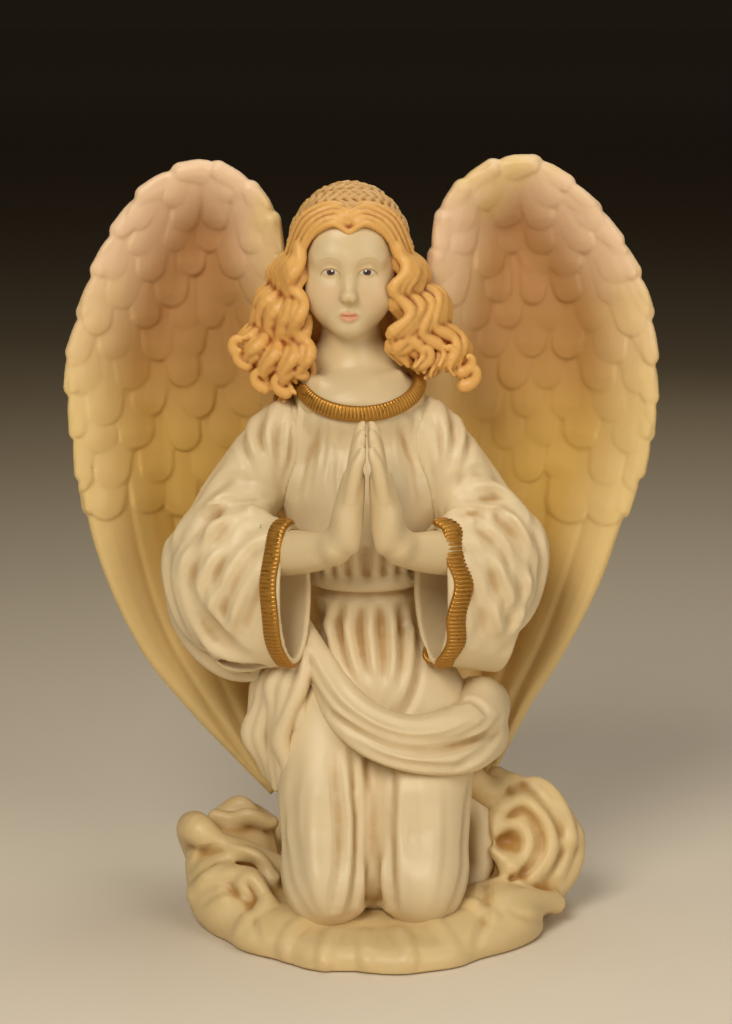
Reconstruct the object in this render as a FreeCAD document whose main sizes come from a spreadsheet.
"""Kneeling angel figurine in cast resin, as a kit of castings glued together on a felted base.

Row frame: millimetres, +Z up, origin on the table under the body, the angel facing -Y.
Left and right are the angel's own, so left is +X.
"""
import FreeCAD, Part
import os
import Sketcher
from FreeCAD import Placement, Rotation, Vector

doc = FreeCAD.newDocument("AngelFigurine")
sheet = doc.addObject("Spreadsheet::Sheet", "Dims")

DIMENSIONS = [
    # base and felt
    ("felt_thick", 1.2), ("felt_inset", 3.5),
    ("base_cx", 2.5), ("base_cy", -1.5), ("base_rx", 51.0), ("base_ry", 55.0),
    ("base_thick", 9.0), ("base_round", 3.5),
    ("swirl_left_x", 49.5), ("swirl_left_rx", 13.0), ("swirl_left_ry", 22.0), ("swirl_left_top", 31.5),
    ("swirl_right_x", -41.5), ("swirl_right_rx", 13.5), ("swirl_right_ry", 23.0), ("swirl_right_top", 29.0),
    ("swirl_y", 4.0),
    # lower legs folded under the robe, behind the knees
    ("calf_y", 18.0), ("calf_rx", 27.0), ("calf_ry", 31.0), ("calf_rise", 25.0),
    # neckline plane and gilt collar
    ("neckline_x", -1.7), ("neckline_y", -3.0), ("neckline_z", 151.0), ("neckline_tilt", 18.8),
    ("collar_ring_rx", 18.0), ("collar_ring_ry", 16.0), ("collar_band", 2.0),
    # head and hair
    ("head_x", -4.5), ("head_y", -3.5), ("head_z", 184.0),
    ("head_rx", 12.4), ("head_ry", 15.6), ("head_rz", 20.0),
    ("neck_r", 7.8), ("neck_spigot_r", 6.0), ("neck_spigot_deep", 8.0),
    ("neck_y", 1.0), ("neck_lap", 4.0),
    ("crown_rx", 17.3), ("crown_ry", 18.0), ("crown_rz", 19.6), ("crown_y", 2.5), ("crown_lift", 3.2),
    ("crown_tilt", 24.0), ("crown_edge_lift", 5.0),
    # arms, sleeves and cuffs: reach is measured outwards from the middle of the body
    ("arm_mid_x", -2.0), ("shoulder_reach", 23.0), ("shoulder_z", 138.0),
    ("elbow_reach", 43.0), ("elbow_y", -3.0), ("elbow_z", 99.0),
    ("ball_rx", 12.0), ("ball_ry", 12.5), ("ball_in", 1.5), ("ball_down", 3.0), ("robe_front_y", -1.0),
    ("cap_rx", 10.0), ("cap_ry", 12.0), ("bicep_rx", 11.0), ("bicep_ry", 12.5), ("bicep_out", 8.5),
    ("bicep_down", 16.0), ("puff_rx", 13.0), ("puff_ry", 14.0), ("puff_in", 2.0), ("puff_up", 6.0),
    ("elbow_rx", 11.5), ("elbow_ry", 14.0), ("elbow_rz", 18.0),
    ("bend_rx", 9.5), ("bend_ry", 16.5), ("droop_rx", 10.0), ("droop_ry", 19.0), ("droop_out", 12.0),
    ("droop_back", 8.0), ("hollow_narrowing", 1.2), ("hollow_shallowing", 5.0),
    ("cuff_reach", 17.5), ("cuff_y", -22.5), ("cuff_z", 96.5),
    ("cuff_half_width", 9.5), ("cuff_half_drop", 19.5), ("cuff_band", 1.3), ("cuff_band_wide", 4.5),
    ("cuff_turn", 48.0), ("sleeve_hollow", 13.0), ("sleeve_wall", 1.8),
    ("forearm_r", 6.0), ("wrist_r", 5.2), ("wrist_reach", 9.5), ("wrist_y", -33.5), ("wrist_z", 110.0),
    ("hand_mid_x", 0.3), ("elbow_out", 18.0), ("elbow_back", 12.0), ("elbow_drop", 6.0),
    # cloth rolled across the lap, with its end hanging at the right hip
    ("roll_x", 5.5), ("roll_y", -6.0), ("roll_z", 62.5), ("roll_rx", 30.0), ("roll_ry", 26.0),
    ("roll_tall", 9.0), ("roll_deep", 5.5), ("roll_tilt", 17.0), ("roll_dip", 14.0),
    ("tail_x", -26.0), ("tail_y", -8.0), ("tail_z", 60.5),
    ("tail_rx", 6.0), ("tail_ry", 11.0), ("tail_rz", 21.5),
    # wings: a cupped blade cut from an egg-shaped shell by the wing's outline
    ("wing_top", 213.5), ("wing_bottom", 26.0), ("wing_reach_left", 82.5), ("wing_reach_right", 85.0),
    ("wing_root", 7.0), ("wing_thick", 4.2), ("wing_rim_y", 2.0),
    ("cup_x", 46.0), ("cup_y", -18.0), ("cup_z", 122.0),
    ("cup_rx", 46.5), ("cup_ry", 52.0), ("cup_rz", 112.0),
    ("key_x", 10.0), ("key_z", 118.0), ("key_wide", 6.0), ("key_tall", 20.0),
    ("key_front", 5.0), ("key_back", 22.0), ("key_gap", 0.15),
]

ROBE_LEVELS = {
    # level: height above the base, half width, half depth, centre x, centre y
    "hem": (0.0, 31.0, 30.0, 4.5, -5.0),
    "shin": (16.0, 30.5, 29.5, 4.5, -5.0),
    "thigh": (32.0, 29.5, 28.0, 4.5, -5.0),
    "hip": (49.0, 28.0, 23.5, 4.0, -4.5),
    "lap": (66.0, 21.5, 18.0, 2.0, -3.0),
    "waist": (83.0, 14.5, 11.5, 0.0, -2.0),
    "bust": (102.0, 21.0, 15.5, -0.5, -3.0),
    "armpit": (119.0, 25.0, 15.5, -1.0, -2.0),
    "shoulder": (132.0, 24.5, 15.0, -1.5, -2.0),
    "collar": (141.0, 17.6, 13.5, -1.7, -1.5),
    "nape": (148.0, 10.0, 9.5, -2.5, 0.5),
}
HAIR_LEVELS = {
    # level: height above the middle of the head, half width, half depth, centre x from the head's, centre y
    "tips": (-36.0, 27.0, 8.5, 0.5, 2.0),
    "curls": (-24.0, 30.5, 11.0, 0.5, 2.0),
    "locks": (-11.0, 24.0, 13.0, 0.5, 2.5),
    "temples": (1.0, 17.0, 15.5, 0.0, 3.0),
    "brow": (12.0, 14.5, 14.0, 0.0, 3.0),
    "parting": (20.0, 7.5, 7.0, 0.0, 3.0),
}
HAND_LEVELS = {
    # level: height above the wrist, half width, half depth, centre outward from between the palms, centre y
    "heel": (-4.6, 4.6, 6.2, 5.2, -34.0),
    "palm": (2.8, 5.3, 7.4, 6.2, -35.0),
    "knuckle": (14.9, 4.3, 7.8, 5.1, -36.0),
    "finger": (26.3, 3.0, 6.6, 3.3, -36.8),
    "fingertip": (35.5, 1.3, 3.2, 1.5, -37.2),
}
LEVEL_MEASURES = ("rise", "rx", "ry", "cx", "cy")
for level, values in (ROBE_LEVELS | HAIR_LEVELS | HAND_LEVELS).items():
    DIMENSIONS += [(f"{level}_{measure}", value) for measure, value in zip(LEVEL_MEASURES, values)]

for row, (alias, value) in enumerate(DIMENSIONS, start=1):
    sheet.set(f"A{row}", alias.replace("_", " "))
    sheet.set(f"B{row}", str(value))
    sheet.setAlias(f"B{row}", alias)
doc.recompute()

BLOCK_SIZE = 300.0
HALF_BLOCK_BACK = f"{-BLOCK_SIZE / 2}"


def dim(alias):
    """A driving dimension read from the sheet, for shapes that Part's own functions make."""
    return float(sheet.get(alias))


def size_of(expression):
    """The value of an expression over the sheet's cells."""
    value = sheet.evalExpression(expression.replace("Dims.", ""))
    return float(getattr(value, "Value", value))


def bind(obj, **expressions):
    """Binds properties to the sheet. A double underscore in a name stands for a dot."""
    for name, expression in expressions.items():
        obj.setExpression(name.replace("__", "."), expression)
    return obj


def centre(obj, x="0", y="0", z="0", rotation=None):
    """Places an object by three expressions, with an optional fixed rotation."""
    if rotation is not None:
        obj.Placement = Placement(Vector(), rotation)
    return bind(obj, Placement__Base__x=x, Placement__Base__y=y, Placement__Base__z=z)


def ellipsoid(name, rx, ry, rz, x, y, z):
    """An ellipsoid with half sizes and centre given as expressions."""
    egg = doc.addObject("Part::Ellipsoid", name)
    egg.Angle1, egg.Angle2, egg.Angle3 = -90, 90, 360
    bind(egg, Radius1=rz, Radius2=rx, Radius3=ry)
    return centre(egg, x, y, z)


def section(name, half_x, half_y, x, y, z, rotation=None):
    """An elliptical outline. Its wide side lies along its own X, or along Y if half_y is larger."""
    ring = doc.addObject("Part::Ellipse", name)
    wide = size_of(half_x) >= size_of(half_y)
    turn = rotation or Rotation()
    if not wide:
        turn = turn.multiply(Rotation(Vector(0, 0, 1), 90))
    major, minor = (half_x, half_y) if wide else (half_y, half_x)
    ring.MajorRadius, ring.MinorRadius = size_of(major), size_of(minor)
    bind(ring, MajorRadius=major, MinorRadius=minor)
    return centre(ring, x, y, z, turn)


def loft(name, sections):
    """A smooth solid through elliptical outlines."""
    body = doc.addObject("Part::Loft", name)
    body.Sections = sections
    body.Solid, body.Ruled, body.Closed = True, False, False
    return body


def cut(name, base, *tools):
    """base less the tools, one after another."""
    for number, tool in enumerate(tools, start=1):
        step = doc.addObject("Part::Cut", name if number == len(tools) else f"{name}_cut{number}")
        step.Base, step.Tool = base, tool
        base = step
    return base


def fuse(name, *parts):
    """The union of several solids."""
    union = doc.addObject("Part::MultiFuse", name)
    union.Shapes = list(parts)
    return union


def common(name, base, tool):
    """What two solids share."""
    shared = doc.addObject("Part::Common", name)
    shared.Base, shared.Tool = base, tool
    return shared


def plane_of(body, role):
    """An origin plane of a body, found by its role."""
    return next(f for f in body.Origin.OriginFeatures if f.Role == role)


def oval_sketch(body, name, half_x, half_y, x, y, height):
    """A sketch of an oval parallel to the table, sized and placed by expressions."""
    sketch = body.newObject("Sketcher::SketchObject", name)
    sketch.AttachmentSupport = [(plane_of(body, "XY_Plane"), "")]
    sketch.MapMode = "FlatFace"
    sketch.addGeometry(Part.Ellipse(Vector(0, 30, 0), Vector(-20, 0, 0), Vector(0, 0, 0)), False)
    sketch.exposeInternalGeometry(0)
    sketch.addConstraint(Sketcher.Constraint("Coincident", 0, 3, -1, 1))
    sketch.addConstraint(Sketcher.Constraint("Vertical", 1))
    long_way = sketch.addConstraint(Sketcher.Constraint("Distance", 1, 60.0))
    short_way = sketch.addConstraint(Sketcher.Constraint("Distance", 2, 40.0))
    sketch.setExpression(f"Constraints[{long_way}]", f"2 * ({half_y})")
    sketch.setExpression(f"Constraints[{short_way}]", f"2 * ({half_x})")
    sketch.setExpression("AttachmentOffset.Base.x", x)
    sketch.setExpression("AttachmentOffset.Base.y", y)
    sketch.setExpression("AttachmentOffset.Base.z", height)
    return sketch


def oval_pad(name, half_x, half_y, x, y, height, thick):
    """A body padded up from an oval."""
    body = doc.addObject("PartDesign::Body", name)
    sketch = oval_sketch(body, name + "_outline", half_x, half_y, x, y, height)
    pad = body.newObject("PartDesign::Pad", name + "_raised")
    pad.Profile = sketch
    pad.setExpression("Length", thick)
    doc.recompute()
    return body


def felt():
    """The felt pad glued under the base."""
    return oval_pad("felt", "Dims.base_rx - Dims.felt_inset", "Dims.base_ry - Dims.felt_inset",
                    "Dims.base_cx", "Dims.base_cy", "0", "Dims.felt_thick")


def big_block(name, x, y, z, rotation=None):
    """A block larger than the figurine, for cutting it along a plane. Its corner is at x, y, z."""
    block = doc.addObject("Part::Box", name)
    block.Length = block.Width = block.Height = BLOCK_SIZE
    return centre(block, x, y, z, rotation)


# a heap's outline: share of its height, share of its width
HEAP_PROFILE = [(0.0, 1.0), (0.35, 0.95), (0.65, 0.78), (0.87, 0.52), (1.0, 0.22)]


def base():
    """The base casting: a rounded slab with a heap of cloth on each side of the knees."""
    slab = oval_pad("slab", "Dims.base_rx", "Dims.base_ry", "Dims.base_cx", "Dims.base_cy",
                    "Dims.felt_thick", "Dims.base_thick")
    pad = slab.Tip
    rim = slab.newObject("PartDesign::Fillet", "slab_rim")
    top = max(range(len(pad.Shape.Edges)), key=lambda i: pad.Shape.Edges[i].CenterOfMass.z)
    rim.Base = (pad, [f"Edge{top + 1}"])
    rim.setExpression("Radius", "Dims.base_round")
    doc.recompute()
    return fuse("base_blank", slab, *[heap(side) for side in ("left", "right")])


def heap(side):
    """A rounded heap of cloth beside the knees, lofted through shrinking ovals."""
    rings = []
    for number, (height, width) in enumerate(HEAP_PROFILE):
        rings.append(section(f"heap_{side}_{number}", f"{width} * Dims.swirl_{side}_rx",
                             f"{width} * Dims.swirl_{side}_ry", f"Dims.swirl_{side}_x", "Dims.swirl_y",
                             f"Dims.felt_thick + {height} * (Dims.swirl_{side}_top - Dims.felt_thick)"))
    return loft(f"heap_{side}", rings)


def levels_loft(name, levels, ground, middle="0", sign=1):
    """A loft through ovals at their levels, with heights above the ground and centres from the middle."""
    rings = []
    for level in levels:
        rings.append(section(f"{name}_{level}", f"Dims.{level}_rx", f"Dims.{level}_ry",
                             f"{middle} + {sign} * Dims.{level}_cx", f"Dims.{level}_cy",
                             f"{ground} + Dims.{level}_rise"))
    return loft(name, rings)


def robe_blank():
    """The kneeling body in its robe, from the base up to the nape, lofted through ovals."""
    base_top = "Dims.felt_thick + Dims.base_thick"
    kneeling = levels_loft("kneeling_figure", ROBE_LEVELS, base_top)
    calves = ellipsoid("calves", "Dims.calf_rx", "Dims.calf_ry", "Dims.calf_rise", "Dims.hem_cx",
                       "Dims.calf_y", base_top)
    under = big_block("under_calves", HALF_BLOCK_BACK, HALF_BLOCK_BACK, f"{base_top} - {BLOCK_SIZE}")
    return fuse("robe_blank", kneeling, cut("calves_level", calves, under))


def above_neckline(name, lift):
    """A large block whose underside is the tilted neckline, raised by a lift."""
    tilt = Rotation(Vector(1, 0, 0), dim("neckline_tilt"))
    corner = tilt.multVec(Vector(-BLOCK_SIZE / 2, -BLOCK_SIZE / 2, lift))
    return big_block(name, f"Dims.neckline_x + {corner.x}", f"Dims.neckline_y + {corner.y}",
                     f"Dims.neckline_z + {corner.z}", tilt)


def collar_ring():
    """A round cord lying on the neckline."""
    tilt = Rotation(Vector(1, 0, 0), dim("neckline_tilt"))
    path = section("neckline_path", "Dims.collar_ring_rx", "Dims.collar_ring_ry", "Dims.neckline_x",
                   "Dims.neckline_y", "Dims.neckline_z", tilt)
    profile = doc.addObject("Part::Circle", "collar_profile")
    bind(profile, Radius="Dims.collar_band")
    centre(profile, "Dims.neckline_x + Dims.collar_ring_rx", "Dims.neckline_y", "Dims.neckline_z",
           tilt.multiply(Rotation(Vector(1, 0, 0), 90)))
    ring = doc.addObject("Part::Sweep", "collar_ring")
    ring.Sections, ring.Spine = [profile], (path, ["Edge1"])
    ring.Solid, ring.Frenet = True, True
    return ring


def head_blank():
    """Head and neck, before they are joined to the shoulders."""
    skull = ellipsoid("skull", "Dims.head_rx", "Dims.head_ry", "Dims.head_rz", "Dims.head_x", "Dims.head_y",
                      "Dims.head_z")
    neck = doc.addObject("Part::Cylinder", "neck")
    bind(neck, Radius="Dims.neck_r", Height="Dims.head_z - Dims.neckline_z + Dims.neck_lap")
    centre(neck, "Dims.head_x + 1", "Dims.neck_y", "Dims.neckline_z - Dims.neck_lap")
    return skull, neck


def spigot(name, play):
    """The round spigot under the neck, or with play its socket in the robe."""
    pin = doc.addObject("Part::Cylinder", name)
    bind(pin, Radius=f"Dims.neck_spigot_r + {play}", Height="Dims.neck_spigot_deep + Dims.neck_spigot_r")
    return centre(pin, "Dims.neckline_x", "Dims.neck_y", f"Dims.neckline_z - Dims.neck_spigot_deep - {play}")


def reach(side, expression):
    """An X expression that is measured outwards from the middle of the body."""
    return f"Dims.arm_mid_x {'+' if side == 'left' else '-'} ({expression})"


def facing(direction, up=Vector(0, 0, 1)):
    """A rotation whose own Z is the direction and whose own Y is near up."""
    return Rotation(Vector(), up, direction, "ZYX")


def sleeve_blank(side):
    """A wide sleeve: a shoulder part that hangs to the elbow and a drooping forearm part."""
    sign = 1 if side == "left" else -1
    down = facing(Vector(sign * 0.45, -0.05, -1), Vector(0, 1, 0))
    ball = ellipsoid(f"{side}_ball", "Dims.ball_rx", "Dims.ball_ry", "Dims.ball_rx",
                     reach(side, "Dims.shoulder_reach - Dims.ball_in"), "Dims.robe_front_y",
                     "Dims.shoulder_z - Dims.ball_down")
    arm_top = loft(f"{side}_upper", [
        section(f"{side}_cap", "Dims.cap_rx", "Dims.cap_ry", reach(side, "Dims.shoulder_reach"),
                "Dims.robe_front_y", "Dims.shoulder_z", down),
        section(f"{side}_bicep", "Dims.bicep_rx", "Dims.bicep_ry",
                reach(side, "Dims.shoulder_reach + Dims.bicep_out"), "Dims.robe_front_y - 1",
                "Dims.shoulder_z - Dims.bicep_down", down),
        section(f"{side}_puff", "Dims.puff_rx", "Dims.puff_ry",
                reach(side, "Dims.elbow_reach - Dims.puff_in"), "Dims.elbow_y - 2",
                "Dims.elbow_z + Dims.puff_up", down)])
    elbow = ellipsoid(f"{side}_elbow", "Dims.elbow_rx", "Dims.elbow_ry", "Dims.elbow_rz",
                      reach(side, "Dims.elbow_reach"), "Dims.elbow_y - 3", "Dims.elbow_z - 1")
    turn = dim("cuff_turn")
    inward = facing(Rotation(Vector(0, 0, 1), sign * -turn).multVec(Vector(0, -1, 0)))
    lower = loft(f"{side}_lower", [
        section(f"{side}_bend", "Dims.bend_rx", "Dims.bend_ry", reach(side, "Dims.elbow_reach - 2"),
                "Dims.elbow_y - 5", "Dims.elbow_z - 1", inward),
        section(f"{side}_droop", "Dims.droop_rx", "Dims.droop_ry",
                reach(side, "Dims.cuff_reach + Dims.droop_out"), "Dims.cuff_y + Dims.droop_back",
                "Dims.cuff_z", inward),
        section(f"{side}_mouth", "Dims.cuff_half_width", "Dims.cuff_half_drop",
                reach(side, "Dims.cuff_reach"), "Dims.cuff_y", "Dims.cuff_z", inward)])
    return ball, arm_top, elbow, lower, inward


def sleeve_hollow(side, inward):
    """The open mouth of the sleeve."""
    sign = 1 if side == "left" else -1
    half_width = "Dims.cuff_half_width - Dims.sleeve_wall"
    half_drop = "Dims.cuff_half_drop - Dims.sleeve_wall"
    ends = [("in", -dim("sleeve_hollow"), " - Dims.hollow_narrowing", " - Dims.hollow_shallowing"),
            ("out", dim("sleeve_wall"), "", "")]
    rings = []
    for end, along, narrower, shallower in ends:
        step = inward.multVec(Vector(0, 0, along))
        rings.append(section(f"{side}_hollow_{end}", half_width + narrower, half_drop + shallower,
                             reach(side, f"Dims.cuff_reach + {sign * step.x}"), f"Dims.cuff_y + {step.y}",
                             "Dims.cuff_z", inward))
    return loft(f"{side}_hollow", rings)


def cuff_block(side, inward):
    """A short oval block over the sleeve's mouth, which becomes the gilt cuff."""
    ring = section(f"{side}_cuff_outline", "Dims.cuff_half_width + Dims.cuff_band",
                   "Dims.cuff_half_drop + Dims.cuff_band", reach(side, "Dims.cuff_reach"), "Dims.cuff_y",
                   "Dims.cuff_z", inward)
    block = doc.addObject("Part::Extrusion", f"{side}_cuff_block")
    block.Base, block.DirMode, block.Solid = ring, "Custom", True
    block.Dir = inward.multVec(Vector(0, 0, -1))
    bind(block, LengthFwd="Dims.cuff_band_wide")
    return block


def forearm(side):
    """Forearm and one hand of the pair held palm to palm, fingers up."""
    sign = 1 if side == "left" else -1
    elbow = Vector(dim("arm_mid_x") + sign * (dim("cuff_reach") + dim("elbow_out")),
                   dim("cuff_y") + dim("elbow_back"), dim("wrist_z") - dim("elbow_drop"))
    wrist = Vector(dim("hand_mid_x") + sign * dim("wrist_reach"), dim("wrist_y"), dim("wrist_z"))
    along = wrist - elbow
    arm = doc.addObject("Part::Cone", f"{side}_arm")
    bind(arm, Radius1="Dims.forearm_r", Radius2="Dims.wrist_r")
    arm.Height = along.Length
    arm.Placement = Placement(elbow, Rotation(Vector(0, 0, 1), along))
    hand = levels_loft(f"{side}_hand", HAND_LEVELS, "Dims.wrist_z", "Dims.hand_mid_x", sign)
    return arm, hand


def lap_roll():
    """A thick roll of cloth round the hips, low at the left front and high at the right."""
    tilt = Rotation(Vector(0, 1, 0), dim("roll_tilt")).multiply(Rotation(Vector(1, 0, 0), dim("roll_dip")))
    path = section("roll_path", "Dims.roll_rx", "Dims.roll_ry", "Dims.roll_x", "Dims.roll_y", "Dims.roll_z",
                   tilt)
    start = tilt.multVec(Vector(dim("roll_rx"), 0, 0))
    profile = section("roll_profile", "Dims.roll_tall", "Dims.roll_deep", f"Dims.roll_x + {start.x}",
                      f"Dims.roll_y + {start.y}", f"Dims.roll_z + {start.z}",
                      tilt.multiply(Rotation(Vector(1, 0, 0), 90)).multiply(Rotation(Vector(0, 0, 1), 90)))
    ring = doc.addObject("Part::Sweep", "lap_roll")
    ring.Sections, ring.Spine = [profile], (path, ["Edge1"])
    ring.Solid, ring.Frenet = True, True
    return ring


WING_OUTLINE = [
    # outward share of the reach past the root, height share from the bottom tip to the top
    (0.02, 0.62), (0.06, 0.80), (0.14, 0.90), (0.32, 0.985), (0.50, 1.0), (0.72, 0.93), (0.90, 0.80),
    (1.0, 0.66), (0.985, 0.54), (0.90, 0.40), (0.74, 0.24), (0.52, 0.10), (0.27, 0.0), (0.12, 0.12),
    (0.03, 0.34)]


def wing_blade(side):
    """The wing's cupped blade: its outline, padded from back to front, shared with an egg-shaped shell."""
    sign = 1 if side == "left" else -1
    body = doc.addObject("PartDesign::Body", f"{side}_wing_outline")
    sketch = body.newObject("Sketcher::SketchObject", f"{side}_wing_sketch")
    sketch.AttachmentSupport = [(plane_of(body, "XZ_Plane"), "")]
    sketch.MapMode = "FlatFace"
    root, tip = dim("wing_root"), dim(f"wing_reach_{side}")
    low, high = dim("wing_bottom"), dim("wing_top")
    points = [Vector(sign * (root + out * (tip - root)), low + up * (high - low), 0)
              for out, up in WING_OUTLINE]
    spline = Part.BSplineCurve()
    spline.interpolate(points, PeriodicFlag=True)
    sketch.addGeometry(spline, False)
    pad = body.newObject("PartDesign::Pad", f"{side}_wing_raised")
    pad.Profile = sketch
    pad.Midplane = True
    pad.Length = BLOCK_SIZE
    doc.recompute()
    shell_x = f"{sign} * Dims.cup_x"
    outer = ellipsoid(f"{side}_cup_outer", "Dims.cup_rx + Dims.wing_thick", "Dims.cup_ry + Dims.wing_thick",
                      "Dims.cup_rz + Dims.wing_thick", shell_x, "Dims.cup_y", "Dims.cup_z")
    inner = ellipsoid(f"{side}_cup_inner", "Dims.cup_rx", "Dims.cup_ry", "Dims.cup_rz", shell_x, "Dims.cup_y",
                      "Dims.cup_z")
    front = big_block(f"{side}_in_front", HALF_BLOCK_BACK, f"Dims.wing_rim_y - {BLOCK_SIZE}", "0")
    shell = cut(f"{side}_cup", outer, inner, front)
    return common(f"{side}_blade", shell, body)


def wing_key(side, name, play):
    """The square key on the wing's root, or with play its pocket in the back of the robe."""
    sign = 1 if side == "left" else -1
    block = doc.addObject("Part::Box", name)
    bind(block, Length=f"Dims.key_wide + 2 * {play}", Height=f"Dims.key_tall + 2 * {play}",
         Width=f"Dims.key_back - Dims.key_front + {play}")
    return centre(block, f"{sign} * Dims.key_x - Dims.key_wide / 2 - {play}", f"Dims.key_front - {play}",
                  f"Dims.key_z - Dims.key_tall / 2 - {play}")


def hair_blank():
    """Hair as one bell from the parting down to the curls on the shoulders."""
    return levels_loft("hair_bell", HAIR_LEVELS, "Dims.head_z", "Dims.head_x")


def crown_blank():
    """The plaited band that covers the top of the head like a cap."""
    dome = ellipsoid("crown_dome", "Dims.crown_rx", "Dims.crown_ry", "Dims.crown_rz", "Dims.head_x",
                     "Dims.crown_y", "Dims.head_z + Dims.crown_lift")
    tilt = Rotation(Vector(1, 0, 0), -dim("crown_tilt"))
    corner = tilt.multVec(Vector(-BLOCK_SIZE / 2, -BLOCK_SIZE / 2, -BLOCK_SIZE))
    under = big_block("under_crown", f"Dims.head_x + {corner.x}", f"Dims.crown_y + {corner.y}",
                      f"Dims.head_z + Dims.crown_edge_lift + {corner.z}", tilt)
    return cut("crown_blank", dome, under)


def finish(node, obj):
    """Names the finished sub-part and lists it for export."""
    obj.Label = node
    FINISHED.append(obj)


FINISHED = []

finish("felt_pad", felt())
base_casting = base()
blank = robe_blank()
block_above = above_neckline("above_neckline", 0)
block_above_collar = above_neckline("above_collar", dim("collar_band") + dim("key_gap"))
ring = collar_ring()
skull, neck = head_blank()

shoulders = common("shoulders", blank, block_above)
finish("head_and_bust", fuse("bust_union", skull, neck, shoulders, spigot("neck_spigot", "0")))
robe_parts = [block_above, spigot("neck_socket", "0.15")]
robe_parts += [wing_key(side, f"{side}_key_pocket", "Dims.key_gap") for side in ("left", "right")]
finish("robe_body", cut("robe_cut", blank, *robe_parts))
finish("base_drapery", base_casting)
finish("collar_trim", cut("collar_cut", ring, blank, neck))

sleeves, shoulder_balls, blades = [], [], []
for side in ("left", "right"):
    *sleeve_pieces, inward = sleeve_blank(side)
    shoulder_balls.append(sleeve_pieces[0])
    hollow = sleeve_hollow(side, inward)
    arm, hand = forearm(side)
    arm_and_hand = fuse(f"{side}_arm_union", arm, hand)
    sleeve_union = fuse(f"{side}_sleeve_union", *sleeve_pieces)
    sleeves.append(cut(f"{side}_sleeve_cut", sleeve_union, blank, hollow, arm_and_hand, ring))
    finish(f"{side}_sleeve", sleeves[-1])
    cuff_cut = cut(f"{side}_cuff_cut", cuff_block(side, inward), sleeve_union, hollow, arm_and_hand)
    finish(f"{side}_cuff_trim", cuff_cut)
    finish(f"{side}_forearm_and_hand", cut(f"{side}_hand_cut", arm_and_hand, blank))
    blade = cut(f"{side}_blade_cut", wing_blade(side), blank, base_casting, sleeve_union)
    blades.append(blade)
    finish(f"{side}_wing", fuse(f"{side}_wing_union", blade, wing_key(side, f"{side}_key", "0")))

tail = ellipsoid("tail", "Dims.tail_rx", "Dims.tail_ry", "Dims.tail_rz", "Dims.tail_x", "Dims.tail_y",
                 "Dims.tail_z")
drape_blank = fuse("drape_blank", lap_roll(), tail)
finish("lap_drape", cut("drape_cut", drape_blank, blank, *sleeves, *blades))

crown = crown_blank()
hair_core = common("hair_core", hair_blank(), block_above_collar)
hair_tools = [skull, neck, blank, *shoulder_balls, *blades]
finish("wavy_hair", cut("hair_cut", hair_core, *hair_tools))
finish("braided_crown", cut("crown_cut", crown, hair_core, skull, *blades))

doc.recompute()
os.makedirs("parts", exist_ok=True)
for obj in doc.Objects:
    if "Invalid" in obj.State or "Error" in obj.State:
        raise RuntimeError(f"{obj.Label} failed: {obj.State} {obj.getStatusString()}")
for obj in FINISHED:
    shape = obj.Shape
    if shape.isNull() or not shape.isValid() or not shape.Solids:
        raise RuntimeError(f"{obj.Label} isn't a valid solid")
for obj in FINISHED:
    print(f"{obj.Label}: {len(obj.Shape.Solids)} solid, {obj.Shape.Volume / 1000:.2f} cm3")
    obj.Shape.exportStep(f"parts/{obj.Label}.step")
